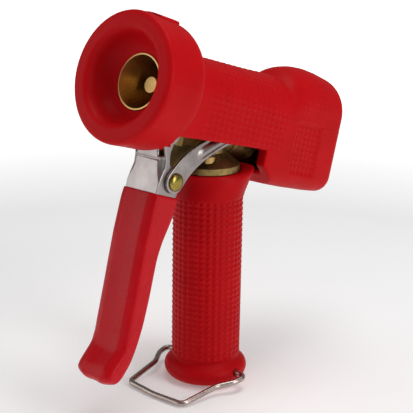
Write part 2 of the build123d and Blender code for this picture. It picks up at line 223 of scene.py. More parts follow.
def box_local(name, x, h, s, n=1):
    """A box in barrel coordinates from (lo, hi) pairs."""
    v = [world(a, b, c) for a in x for b in h for c in s]
    f = [(0, 1, 3, 2), (4, 6, 7, 5), (0, 4, 5, 1), (2, 3, 7, 6), (0, 2, 6, 4), (1, 5, 7, 3)]
    ob = raw_object(name, np.array(v), f)
    outward(ob)
    return ob


def prism_sh(name, pts, half):
    """Polygon in (s, h), extruded across X."""
    n = len(pts)
    v = [world(-half, h, s) for s, h in pts] + [world(half, h, s) for s, h in pts]
    f = [tuple(range(n))[::-1], tuple(range(n, 2 * n))] + [(i, (i + 1) % n, n + (i + 1) % n, n + i) for i in range(n)]
    ob = raw_object(name, np.array(v), f)
    outward(ob)
    return ob


# ------------------------------------------------------------------ materials
def srgb(r, g, b):
    def f(c):
        c /= 255.0
        return c / 12.92 if c <= 0.04045 else ((c + 0.055) / 1.055) ** 2.4
    return (f(r), f(g), f(b), 1.0)


class Nodes:
    def __init__(self, name):
        self.m = bpy.data.materials.new(name)
        self.m.use_nodes = True
        self.t = self.m.node_tree
        self.t.nodes.clear()
        self.out = self.t.nodes.new("ShaderNodeOutputMaterial")
        self.p = self.t.nodes.new("ShaderNodeBsdfPrincipled")
        self.t.links.new(self.p.outputs["BSDF"], self.out.inputs["Surface"])
        self.co = self.t.nodes.new("ShaderNodeTexCoord")

    def n(self, kind, **kw):
        node = self.t.nodes.new(kind)
        for k, v in kw.items():
            if hasattr(node, k):
                setattr(node, k, v)
        return node

    def link(self, a, b):
        self.t.links.new(a, b)

    def noise(self, scale, detail=3.0, rough=0.55, stretch=None):
        x = self.n("ShaderNodeTexNoise")
        x.inputs["Scale"].default_value = scale
        x.inputs["Detail"].default_value = detail
        x.inputs["Roughness"].default_value = rough
        src = self.co.outputs["Object"]
        if stretch is not None:
            mp = self.n("ShaderNodeMapping")
            mp.inputs["Scale"].default_value = stretch[:3]
            if len(stretch) > 3:
                mp.inputs["Rotation"].default_value = stretch[3:]
            self.link(src, mp.inputs["Vector"])
            src = mp.outputs["Vector"]
        self.link(src, x.inputs["Vector"])
        return x.outputs["Fac"]

    def ramp(self, src, stops):
        r = self.n("ShaderNodeValToRGB")
        e = r.color_ramp.elements
        while len(e) < len(stops):
            e.new(0.5)
        for el, (pos, col) in zip(e, stops):
            el.position = pos
            el.color = col if len(col) == 4 else (*col, 1)
        self.link(src, r.inputs["Fac"])
        return r.outputs["Color"]

    def remap(self, src, lo, hi, a=0.0, b=1.0):
        r = self.n("ShaderNodeMapRange")
        r.inputs["From Min"].default_value = a
        r.inputs["From Max"].default_value = b
        r.inputs["To Min"].default_value = lo
        r.inputs["To Max"].default_value = hi
        self.link(src, r.inputs["Value"])
        return r.outputs["Result"]

    def mix(self, fac, a, b, blend="MIX"):
        x = self.n("ShaderNodeMix", data_type="RGBA", blend_type=blend)
        for sock, v in ((x.inputs[0], fac), (x.inputs[6], a), (x.inputs[7], b)):
            if isinstance(v, bpy.types.NodeSocket):
                self.link(v, sock)
            else:
                sock.default_value = v
        return x.outputs[2]

    def math(self, op, a, b=0.5):
        x = self.n("ShaderNodeMath", operation=op)
        for sock, v in ((x.inputs[0], a), (x.inputs[1], b)):
            if isinstance(v, bpy.types.NodeSocket):
                self.link(v, sock)
            else:
                sock.default_value = v
        return x.outputs[0]

    def bump(self, height, strength=0.3, dist=0.0002):
        b = self.n("ShaderNodeBump")
        b.inputs["Strength"].default_value = strength
        b.inputs["Distance"].default_value = dist
        self.link(height, b.inputs["Height"])
        self.link(b.outputs["Normal"], self.p.inputs["Normal"])

    def edge(self, lo=0.5, hi=0.56):
        g = self.n("ShaderNodeNewGeometry")
        return self.remap(g.outputs["Pointiness"], 0.0, 1.0, lo, hi)


def rubber(name, base, dark, light, rough=0.46, coat=0.0, spec=0.07):
    k = Nodes(name)
    cloud = k.noise(45.0, 4.0)
    fine = k.noise(900.0, 3.0, 0.6)
    col = k.ramp(cloud, [(0.25, dark), (0.55, base), (0.85, light)])
    worn = k.edge(0.505, 0.56)
    col = k.mix(k.math("MULTIPLY", worn, 0.35), col, light)
    specks = k.ramp(k.noise(330.0, 2.0), [(0.0, (0.86, 0.86, 0.86)), (0.34, (1, 1, 1)), (1.0, (1, 1, 1))])
    col = k.mix(0.35, col, specks, "MULTIPLY")
    k.link(col, k.p.inputs["Base Color"])
    k.link(k.remap(k.noise(130.0, 3.0), rough - 0.07, rough + 0.09), k.p.inputs["Roughness"])
    k.p.inputs["Specular IOR Level"].default_value = spec
    if coat:
        k.p.inputs["Coat Weight"].default_value = coat
        k.p.inputs["Coat Roughness"].default_value = 0.3
    k.bump(k.math("ADD", k.math("MULTIPLY", fine, 0.6), k.noise(260.0, 2.0)), 0.10, 0.00012)
    return k.m


def metal(name, base, dark, light, rough=0.3, brush=None, pits=0.0, bump=0.12, edge=0.3, scale=70.0):
    k = Nodes(name)
    col = k.ramp(k.noise(scale, 5.0, 0.6), [(0.28, dark), (0.55, base), (0.85, light)])
    worn = k.edge(0.5, 0.56)
    col = k.mix(k.math("MULTIPLY", worn, edge), col, light)
    if pits:
        col = k.mix(pits, col, k.ramp(k.noise(420.0, 3.0, 0.7), [(0.32, (0.35, 0.3, 0.22)), (0.55, (1, 1, 1))]), "MULTIPLY")
    k.link(col, k.p.inputs["Base Color"])
    k.p.inputs["Metallic"].default_value = 1.0
    streak = k.noise(380.0, 3.0, 0.6, stretch=brush) if brush else k.noise(300.0, 4.0, 0.6)
    k.link(k.remap(streak, rough - 0.08, rough + 0.12), k.p.inputs["Roughness"])
    k.bump(streak, bump, 0.00008)
    return k.m


RED = rubber("red_rubber", srgb(182, 7, 15), srgb(174, 5, 12), srgb(190, 13, 22))
REDGRIP = rubber("red_grip_rubber", srgb(174, 5, 13), srgb(164, 4, 10), srgb(186, 13, 21))
VINYL = rubber("red_vinyl", srgb(184, 10, 22), srgb(176, 8, 18), srgb(192, 16, 29), rough=0.25, spec=0.13)
BRASS = metal("forged_brass", srgb(138, 114, 70), srgb(98, 78, 44), srgb(176, 152, 100), rough=0.42, pits=0.55, bump=0.3)
TURNED = metal("turned_brass", srgb(172, 138, 84), srgb(156, 122, 70), srgb(196, 164, 110), rough=0.28, bump=0.03, scale=12.0)
CONE = metal("cone_brass", srgb(196, 122, 48), srgb(168, 92, 30), srgb(214, 150, 78), rough=0.24)
RIVETB = metal("rivet_brass", srgb(150, 134, 62), srgb(120, 102, 40), srgb(190, 176, 104), rough=0.24, pits=0.3)
STEEL = metal("stainless", srgb(160, 152, 150), srgb(140, 132, 130), srgb(184, 177, 175), rough=0.30, brush=(6.0, 6.0, 0.8), bump=0.06)
LINKST = metal("stamped_stainless", srgb(158, 150, 147), srgb(134, 126, 124), srgb(190, 183, 181), rough=0.27, bump=0.10, pits=0.15)
WIRE = metal("wire_steel", srgb(168, 154, 148), srgb(138, 124, 118), srgb(198, 188, 182), rough=0.26, bump=0.05)


def black_rubber():
    k = Nodes("black_rubber")
    k.link(k.ramp(k.noise(200.0), [(0.3, srgb(18, 18, 18)), (0.8, srgb(34, 33, 32))]), k.p.inputs["Base Color"])
    k.link(k.remap(k.noise(400.0), 0.55, 0.75), k.p.inputs["Roughness"])
    k.bump(k.noise(700.0), 0.2, 0.0001)
    return k.m


BLACK = black_rubber()

by_slot = {"forged_brass": BRASS, "turned_brass": TURNED, "stainless": STEEL, "red_rubber": RED, "red_grip_rubber": REDGRIP,
           "red_vinyl": VINYL, "rivet_brass": RIVETB, "stainless_wire": WIRE, "black_rubber": BLACK}
slot_of = {p["node"]: p["material_slot"] for p in frame["record"]["subparts"]}
for node, ob in frame["nodes"].items():
    ob.data.materials.clear()
    ob.data.materials.append(by_slot[slot_of[node]])


def finish_piece(ob, body, material, nodes=(), angle=None):
    ob.data.materials.clear()
    ob.data.materials.append(material)
    smooth_shade(ob, angle)
    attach(ob, body)
    if nodes:
        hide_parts(*nodes)
    return ob


# ------------------------------------------------------------------ one-piece rubber cover
ST = [(41, 19.3, 19.3, -30, 6), (20, 19.9, 20.5, -31, 6), (0, 20.5, 21.2, -33, 7), (-20, 21, 22, -35, 8), (-36, 21.4, 23, -36.2, 9),
      (-44.6, 21.7, 22.9, -36.4, 9), (-45.4, 21.7, 24.0, -36.4, 9), (-46.6, 21.75, 25.5, -36.4, 9), (-48.4, 21.8, 27.2, -36.4, 9), (-51, 21.9, 28.7, -36.4, 9),
      (-54, 22, 29.9, -36.4, 9), (-61, 22, 31.6, -36.3, 9), (-69, 22, 32.4, -36, 9), (-78, 22, 32.2, -35.8, 9), (-86, 22, 31.5, -35.3, 9),
      (-97, 22, 30.4, -34.5, 9)]
sta = [r[0] for r in ST]
f_w = smooth_table(sta, [r[1] for r in ST], 2.0)
f_top = smooth_table(sta, [r[2] for r in ST], 0.7)
f_bot = smooth_table(sta, [r[3] for r in ST], 2.0)
f_cor = smooth_table(sta, [r[4] for r in ST], 2.0)
END_S, END_LEN, END_IN = -95.3, 5.0, 4.0


def end_inset(s):
    t = np.clip((END_S + END_LEN - np.asarray(s, float)) / END_LEN, 0, 1)
    return END_IN * (1 - np.sqrt(1 - t ** 2))


def arch_ring(w, top, bot, cor, n=144):
    """Closed outline: straight sides, round top, rounded lower corners."""
    c = top - w
    pts = []
    for a in np.linspace(0, math.pi, 73):
        pts.append((w * math.cos(a), c + w * math.sin(a)))
    for a in np.linspace(math.pi, 1.5 * math.pi, 13):
        pts.append((-w + cor + cor * math.cos(a), bot + cor + cor * math.sin(a)))
    for a in np.linspace(1.5 * math.pi, 2 * math.pi, 13):
        pts.append((w - cor + cor * math.cos(a), bot + cor + cor * math.sin(a)))
    pts = np.array(pts)
    q = np.vstack([pts, pts[:1]])
    d = np.r_[0, np.cumsum(np.hypot(*np.diff(q, axis=0).T))]
    t = np.linspace(0, d[-1], n, endpoint=False)
    return np.stack([np.interp(t, d, q[:, 0]), np.interp(t, d, q[:, 1])], -1)


def loft_rings(name, rings):
    """rings: list of (s, points (x, h)); capped with fans."""
    n = len(rings[0][1])
    v = np.concatenate([world(r[:, 0], r[:, 1], s) for s, r in rings])
    f = grid_faces(len(rings), n, wrap_v=True)
    v = np.vstack([v, world(0, rings[0][1][:, 1].mean(), rings[0][0])[None], world(0, rings[-1][1][:, 1].mean(), rings[-1][0])[None]])
    a, b = len(v) - 2, len(v) - 1
    m = (len(rings) - 1) * n
    f += [(j, (j + 1) % n, a) for j in range(n)] + [(m + (j + 1) % n, m + j, b) for j in range(n)]
    ob = raw_object(name, v, f)
    outward(ob)
    return ob


def cover_piece():
    ss = np.r_[np.arange(41, -38, -2.0), np.arange(-38, -62, -0.75), np.arange(-62, -85, -2.0), END_S + END_LEN * (1 - np.sin(np.linspace(0, math.pi / 2, 9)))]
    rings = []
    for s in ss:
        i = float(end_inset(s))
        rings.append((s, arch_ring(float(f_w(s)) - i, float(f_top(s)) - i, float(f_bot(s)) + i, max(float(f_cor(s)) - 0.4 * i, 5.0))))
    jacket = loft_rings("cover", rings)
    bell = lathe("bell", [(0, 39.0), (25.5, 39.0), (28.6, 39.5), (30.8, 41.0), (31.9, 43.4), (32.15, 46.0), (32.3, 56.0), (32.55, 63.6), (32.5, 65.0),
                          (31.9, 66.1), (30.9, 66.6), (29.4, 66.95), (28.3, 66.95), (27.3, 66.95), (26.4, 67.15), (25.6, 67.15), (24.5, 66.9), (23.5, 66.2), (22.7, 65.0),
                          (21.9, 63.2), (21.2, 61.0), (20.1, 58.7), (18.6, 56.7), (16.9, 55.2), (15.3, 54.3), (13.9, 53.8), (0, 53.8)], on_barrel, 160)
    # raised plain pad on the bell
    pad = []
    for s in (45.0, 45.4, 57.8, 58.2):
        r = [(-10.0, 26.0), (-10.0, 31.1), (-9.6, 31.95)] + [(x, math.sqrt((33.35 if 45.2 < s < 58 else 33.1) ** 2 - x ** 2)) for x in np.linspace(-9.2, 9.2, 13)] + [(9.6, 31.95), (10.0, 31.1), (10.0, 26.0)]
        pad.append((s, np.array(r)))
    pad = loft_rings("cover_pad", pad)
    opening = prism_sh("open", [(40.8, -21.9), (-30.0, -18.2), (-30.0, -27.0), (-43.5, -36.2), (-43.5, -80.0), (40.8, -80.0)], 60)
    cav = [box_local("c1", (-14.5, 14.5), (-43, 7), (-36.5, 40.7)), box_local("c3", (-14.5, 14.5), (-29, 6.99), (-50, -36.4)), box_local("c2", (-10.7, 10.7), (-27, 13.05), (-50, 24))]
    bores = [lathe("b1", [(0, 9), (14.06, 9), (14.06, 41.06), (16.06, 41.06), (16.06, 50.06), (13.93, 50.06), (13.93, 60), (0, 60)], on_barrel, 96)]
    hol = loft_rings("hollow", [(-45, arch_ring(16.6, 16.8, -31, 6)), (-56, arch_ring(17, 22, -31.6, 6)), (-70, arch_ring(17.2, 27, -31.4, 6)),
                                (-87.6, arch_ring(17, 26.4, -30.8, 6))])
    cut(jacket, [opening] + cav + bores + [hol])
    cut(bell, cav[:1] + bores)
    bm = bmesh.new()
    for o in (jacket, bell):
        bm.from_mesh(o.data)
    bm.to_mesh(jacket.data)
    bm.free()
    remove(bell, opening, hol, *cav, *bores)
    finish_piece(pad, "gun", RED, ("rubber_cover",), 30)
    m = jacket.modifiers.new("r", "REMESH")
    m.mode = "VOXEL"
    m.voxel_size = 0.00062
    m.adaptivity = 0.0
    m = jacket.modifiers.new("s", "SMOOTH")
    m.iterations = 5
    m.factor = 0.5
    bpy.context.view_layer.update()
    apply_mods(jacket)
    # softer edges round the slot into the bumper
    x, h, s = local(coords(jacket))
    g = jacket.vertex_groups.new(name="lip")
    wt = sstep(-28, -31, s) * sstep(-52, -47, s) * sstep(-17, -21, h) * sstep(25, 20, np.abs(x))
    for lv in np.linspace(0.1, 1.0, 10):
        pick = np.nonzero(np.abs(wt - lv) < 0.05)[0]
        if len(pick):
            g.add([int(q) for q in pick], float(lv), "REPLACE")
    m = jacket.modifiers.new("s2", "SMOOTH")
    m.vertex_group = "lip"
    m.iterations = 26
    m.factor = 0.5
    bpy.context.view_layer.update()
    apply_mods(jacket)
    jacket.vertex_groups.clear()
    p = coords(jacket)
    x, h, s = local(p)
    nr = normals(jacket)
    nh = nr[:, 1] * S + nr[:, 2] * C
    ns = -nr[:, 1] * C + nr[:, 2] * S
    nx = nr[:, 0]
    i = end_inset(s)
    w, top = f_w(s) - i, f_top(s) - i
    c = top - w
    up = h > c
    rad = np.hypot(x, h - c)
    dist = np.where(up, rad - w, np.abs(x) - w)
    # distance up the outline from the side line, for a regular grid of bumps
    arc = np.where(up, c + w * np.arctan2(h - c, np.abs(x)), h)
    r = np.hypot(x, h)
    outer = (np.abs(dist) < 0.9) & (np.where(up, nx * x + nh * (h - c), nx * x) > 0)
    d = np.zeros(len(p))
    # rows of small raised bumps on the barrel
    u, v = (s - 1.0) / 4.3, (arc + 18.6) / 3.15
    bump = np.clip(0.5 + 0.5 * np.cos(2 * math.pi * u), 0, 1) ** 1.6 * np.clip(0.5 + 0.5 * np.cos(2 * math.pi * v), 0, 1) ** 1.6
    zone = sstep(39 - 14, 39 - 20, s + 0.35 * np.clip(-arc - 6, -20, 12) * -1.0) * sstep(-43.5, -40.5, s) * sstep(-19.3, -17.6, np.where(outer, arc, -50))
    fade = 0.55 + 0.45 * sstep(10, -4, arc)
    d += np.where(outer, 0.5 * bump * zone * fade, 0)
    # shallow bumpy recess on each side of the bumper
    inz = (s < -46) & (s > -84) & outer & (arc < 6) & (arc > -30)
    left, right = -52.0 - 0.0 * arc, -75.5
    rec = sstep(left + 0.35, left - 0.35, s) * sstep(right - 0.35, right + 0.35, s) * sstep(1.7, 0.9, arc) * sstep(-28.5, -26.5, arc)
    bu, bv = (s + 50.0) / 4.0, (arc + 2.0) / 3.1
    b2 = (np.clip(0.5 + 0.5 * np.cos(2 * math.pi * bu), 0, 1) * np.clip(0.5 + 0.5 * np.cos(2 * math.pi * bv), 0, 1)) ** 1.5
    inu = (s < -50) & (s > -78) & outer & (arc > 4) & (arc < 34)
    d += np.where(inu, 0.22 * b2 * sstep(-51, -54, s) * sstep(-77, -74, s) * sstep(4, 6, arc) * sstep(34, 28, arc), 0)
    d += np.where(inz, rec * (-0.95 + 0.5 * b2), 0)
    # mould parting line at mid height
    line = np.exp(-(((h - 0.6) / 0.42) ** 2))
    on_bell = (r > 30.8) & (s > 42) & (s < 66)
    d += np.where(outer & (s < 38) | on_bell, 0.16 * line, 0)
    set_coords(jacket, p + nr * d[:, None])
    # the inside is thinned
    inner = ~(outer | (r > 22.0) & (s > 36) | (s > 53.0)) & (np.abs(x) < w - 1.2) & (h < top - 1.2)
    g = jacket.vertex_groups.new(name="inside")
    g.add([int(q) for q in np.nonzero(inner)[0]], 1.0, "REPLACE")
    m = jacket.modifiers.new("d", "DECIMATE")
    m.vertex_group = "inside"
    m.vertex_group_factor = 1000.0
    m.ratio = 0.62
    bpy.context.view_layer.update()
    apply_mods(jacket)
    jacket.name = "cover_moulding"
    return jacket


cover = finish_piece(cover_piece(), "gun", RED, ("rubber_cover",))


# ------------------------------------------------------------------ hand grip rubber
def grip_piece():
    nt = 32 * 7
    th = np.linspace(0, 2 * math.pi, nt, endpoint=False)
    ct, st = np.cos(th), np.sin(th)
    cyf = smooth_table([99.9, 104.8, 112.8, 119.4, 126], [0, 0.3, 3.6, 6.5, 9.3], 1.4)
    rf = smooth_table([99.9, 104.8, 112.8, 119.4, 126], [18.75, 19.1, 20.2, 21.2, 22.2], 1.4)
    rows = []

    def ring(rr, zz, yy=0.0):
        rr, zz, yy = np.broadcast_arrays(rr, zz, yy)
        rows.append(np.stack([rr * ct, yy + rr * st, zz + 0 * ct], -1))

    one = np.ones(nt)
    # foot bulge
    for rr in (15.05, 16.2, 17.3):
        ring(rr * one, 0.9)
    for a in np.linspace(-84, 62, 22):
        t = math.radians(a)
        ring((17.36 + 5.41 * math.cos(t)) * one, 6.3 + 5.41 * math.sin(t))
    for rr, zz in ((19.55, 11.35), (18.9, 11.75), (18.35, 12.1), (18.0, 12.6), (17.9, 13.2), (18.05, 13.7), (18.35, 14.1)):
        ring(rr * one, zz)
    # body with an aligned grid of small raised pyramids
    z0, z1, per = 14.4, 103.8, 2.98
    zz = np.arange(z0, z1, per / 7)
    for z in zz:
        zone = float(sstep(z0 - 0.2, z0 + 0.8, z) * sstep(z1 + 0.2, z1 - 1.0, z))
        gu = 0.5 + 0.5 * np.cos(th * 32)
        gv = 0.5 - 0.5 * math.cos(2 * math.pi * (z - z0) / per)
        b = (gu * gv) ** 0.8
        ring(18.2 + 0.8 * b * zone + 0.45 * (1 - zone), z)
    # flare to the tilted top
    zt = np.full(nt, 116.0)
    for _ in range(20):
        zt = 115.7 + 0.167 * (cyf(zt) + rf(zt) * st)
    zb = zt - 2.6
    for t in np.linspace(0, 1, 18):
        z = 104.2 + (zb - 104.2) * t
        ring(rf(z) + 0 * z, z, cyf(z))
    # rounded shoulder up to the brass flange
    yo, ro = cyf(zb), rf(zb)
    P0 = np.stack([ro * ct, yo + ro * st, zb], -1)
    yc, rc = cyf(zt), rf(zt)
    P1 = np.stack([rc * ct, yc + rc * st, zt], -1)
    zi = np.maximum(117.3, 115.7 + 0.167 * 17.25 * st + 0.6 * sstep(0.0, 0.5, st))
    P2 = np.stack([17.25 * ct, 17.25 * st, np.minimum(zi, 118.9)], -1)
    for t in (0.12, 0.25, 0.38, 0.5, 0.62, 0.75, 0.88, 1.0):
        rows.append((1 - t) ** 2 * P0 + 2 * t * (1 - t) * P1 + t * t * P2)
    ring(17.0 * one, 117.3)
    ring(13.6 * one, 117.3)
    for rr, z in ((13.56, 100.0), (13.56, 60.0), (13.56, 17.7), (15.05, 16.1), (15.05, 8.0)):
        ring(rr * one, z)
    p = np.array(rows)
    nu = len(rows)
    v = p.reshape(-1, 3)
    # notches for the valve chamber and the rubber cover
    x, h, s = local(v)
    lim = np.where((np.abs(x) < 11.4) & (s > -46), -26.95, 99.0)
    lim = np.where((s < -29.3), np.minimum(lim, -27.75), lim)
    h = np.minimum(h, lim)
    v = world(x, h, s)
    # sockets the wire goes into
    dist = np.hypot(v[:, 1], v[:, 2] - 7.26)
    rr = np.hypot(v[:, 0], v[:, 1])
    hit = (dist < 2.6) & (rr > 18)
    k = np.where(hit, 1.3 * (1 - sstep(1.65, 2.45, dist)), 0)
    v[:, 0] -= np.sign(v[:, 0]) * k
    ob = raw_object("grip_moulding", v, grid_faces(nu, nt, wrap_u=True, wrap_v=True))
    outward(ob)
    return ob


grip = finish_piece(grip_piece(), "gun", REDGRIP, ("grip_sleeve",))


# ------------------------------------------------------------------ lever sleeve
def resample(pts, step, closed=False, sigma=0.0):
    p = np.array(pts, float)
    if closed:
        p = np.vstack([p, p[:1]])
    d = np.r_[0, np.cumsum(np.hypot(*np.diff(p, axis=0).T))]
    n = max(int(round(d[-1] / step)), 4)
    t = np.linspace(0, d[-1], n + 1)[: n if closed else n + 1]
    q = np.stack([np.interp(t, d, p[:, 0]), np.interp(t, d, p[:, 1])], -1)
    if sigma:
        k = np.arange(-int(3 * sigma / step) - 1, int(3 * sigma / step) + 2) * step
        w = np.exp(-0.5 * (k / sigma) ** 2)
        w /= w.sum()
        m = len(k) // 2
        if closed:
            qq = np.vstack([q[-m:], q, q[:m]])
        else:
            qq = np.vstack([2 * q[0] - q[m:0:-1], q, 2 * q[-1] - q[-2:-m - 2:-1]])
        q = np.stack([np.convolve(qq[:, i], w, mode="valid") for i in (0, 1)], -1)
    return q


def prism_yz(name, pts, x0, x1):
    p = np.array(pts, float)
    n = len(p)
    v = np.vstack([np.c_[np.full(n, x0), p], np.c_[np.full(n, x1), p]])
    f = [tuple(range(n))[::-1], tuple(range(n, 2 * n))] + [(i, (i + 1) % n, n + (i + 1) % n, n + i) for i in range(n)]
    ob = raw_object(name, v, f)
    outward(ob)
    return ob


def remeshed(ob, voxel, it, factor=0.5):
    m = ob.modifiers.new("r", "REMESH")
    m.mode = "VOXEL"
    m.voxel_size = voxel * 0.001
    m = ob.modifiers.new("s", "SMOOTH")
    m.iterations = it
    m.factor = factor
    bpy.context.view_layer.update()
    apply_mods(ob)


def sleeve_piece():
    front = resample([(-50.9, 115.9), (-53.1, 111.3), (-58.8, 93.7), (-65.1, 69.8), (-71.6, 45.7), (-74.6, 39.4), (-82.8, 31.9), (-85.0, 28.3)], 0.7, sigma=1.3)
    front[:, 0] -= 0.6 + 0.6 * sstep(38, 50, front[:, 1])
    toe = resample([tuple(front[-1]), (-84.6, 24.9), (-81.6, 22.4), (-78.6, 22.0)], 0.5, sigma=0.8)
    back = resample([(-78.6, 22.0), (-74.9, 24.4), (-68.4, 31.0), (-63.4, 40.4), (-59.4, 49.6), (-55.3, 62.2), (-52.6, 71.8), (-49.9, 81.4), (-46.2, 89.4),
                     (-40.8, 97.6), (-37.2, 104.0), (-35.2, 109.9)], 0.7, sigma=2.0)
    lid = resample([(-35.2, 109.9), tuple(front[0])], 0.7)
    prof = np.vstack([front[:-1], toe[:-1], back[:-1], lid[:-1]])
    n = len(prof)
    kind = np.r_[np.zeros(len(front) - 1), np.zeros(len(toe) - 1), np.ones(len(back) - 1), np.full(len(lid) - 1, 2)]
    tg = np.roll(prof, -1, 0) - np.roll(prof, 1, 0)
    tg /= np.linalg.norm(tg, axis=1)[:, None]
    nn = np.stack([-tg[:, 1], tg[:, 0]], -1)
    if ((prof.mean(0) - prof[10]) @ nn[10]) < 0:
        nn = -nn
    # depth the outline is drawn in by, at each distance from the middle
    xs = [0, 3.5, 6.0, 7.0, 7.5, 8.2, 9.2, 10.2, 11.0, 11.5, 11.85, 12.1, 12.28, 12.38, 12.4]
    df = [0.45, 0.30, 0.09, 0.0, 0.05, 0.30, 0.55, 0.90, 1.22, 1.48, 1.75, 2.05, 2.40, 2.8, 3.2]
    db = [0, 0, 0, 0, 0, 0, 0.02, 0.15, 0.42, 0.72, 1.02, 1.35, 1.7, 2.15, 2.5]
    dl = [0, 0, 0, 0, 0, 0, 0, 0, 0, 0.05, 0.12, 0.25, 0.4, 0.6, 0.8]
    rows = []
    for x in [-v for v in xs[:0:-1]] + xs:
        i = xs.index(abs(x))
        dd = np.where(kind == 0, df[i], np.where(kind == 1, db[i], dl[i]))
        w = np.array([1, 2, 3, 4, 3, 2, 1.0])
        body_ = dd[kind < 2]
        dd[kind < 2] = np.convolve(np.r_[[body_[0]] * 3, body_, [body_[-1]] * 3], w / w.sum(), mode="valid")
        q = prof + nn * dd[:, None]
        # the top face ends where the drawn-in front and back do
        nf, nb = nn[3], nn[len(front) + len(toe) + len(back) - 6]
        far = prof[len(front) + len(toe) + len(back) - 4]
        for nrm, at, lim in ((nf, prof[2], df[i]), (nb, far, db[i])):
            gap = lim - (q - at) @ nrm
            q += np.where((kind == 2) | (np.arange(n) < 2) | (np.abs(np.arange(n) - (len(front) + len(toe) + len(back) - 3)) < 2), np.maximum(gap, 0), 0)[:, None] * nrm
        # rounded corners at the toe
        e = q @ np.array([-0.5, -0.866])
        dt = np.clip((prof @ np.array([-0.5, -0.866])).max() - e, 0, 5.5)
        half = 12.4 - 5.5 + np.sqrt(np.maximum(5.5 ** 2 - (5.5 - dt) ** 2, 0))
        rows.append(np.c_[x * np.minimum(half, 12.4) / 12.4, q])
    v = np.concatenate(rows)
    m = len(rows)
    f = grid_faces(m, n, wrap_v=True) + [tuple(range(n))[::-1], tuple((m - 1) * n + i for i in range(n))]
    ob = raw_object("sleeve_moulding", v, f)
    outward(ob)
    m = ob.modifiers.new("r", "REMESH")
    m.mode = "VOXEL"
    m.voxel_size = 0.0005
    bpy.context.view_layer.update()
    apply_mods(ob)
    z = coords(ob)[:, 2]
    for name, zone, turns in (("all", z < 200, 2), ("toe", z < 36, 34)):
        g = ob.vertex_groups.new(name=name)
        wt = np.where(zone, 1.0, 0.0) if name == "all" else sstep(38, 31, z)
        for lv in np.linspace(0.1, 1.0, 10):
            pick = np.nonzero(np.abs(wt - lv) < 0.05)[0]
            if len(pick):
                g.add([int(q) for q in pick], float(lv), "REPLACE")
        m = ob.modifiers.new("s_" + name, "SMOOTH")
        m.vertex_group = name
        m.iterations = turns
        m.factor = 0.5
    bpy.context.view_layer.update()
    apply_mods(ob)
    ob.vertex_groups.clear()
    return ob


sleeve = finish_piece(sleeve_piece(), "lever", VINYL, ("lever_sleeve",), 50)

# ------------------------------------------------------------------ lever channel
CHEEK_F = [(-70.0, 45.4), (-57.4, 93.7), (-50.6, 114.9), (-48.9, 119.8), (-46.6, 123.6), (-44.2, 127.2), (-43.4, 131.2), (-43.9, 136.0), (-44.8, 140.4)]
CHEEK_B = [(-37.4, 139.1), (-40.3, 133.9), (-40.8, 128.5), (-36.8, 125.1), (-33.2, 121.4), (-32.9, 116.5), (-37.6, 108.9), (-46.6, 92.9), (-55.0, 69.8), (-62.4, 46.6)]
TAB = [(45.4, 10.9), (114.9, 10.9), (119.2, 10.9), (121.4, 10.2), (123.6, 8.9), (126.6, 7.9), (131.4, 7.3), (138.2, 6.9)]
TAB_F = [(45.4, -70.0), (93.7, -57.4), (114.9, -50.6), (127.4, -46.6), (131.6, -46.0), (138.2, -45.2)]


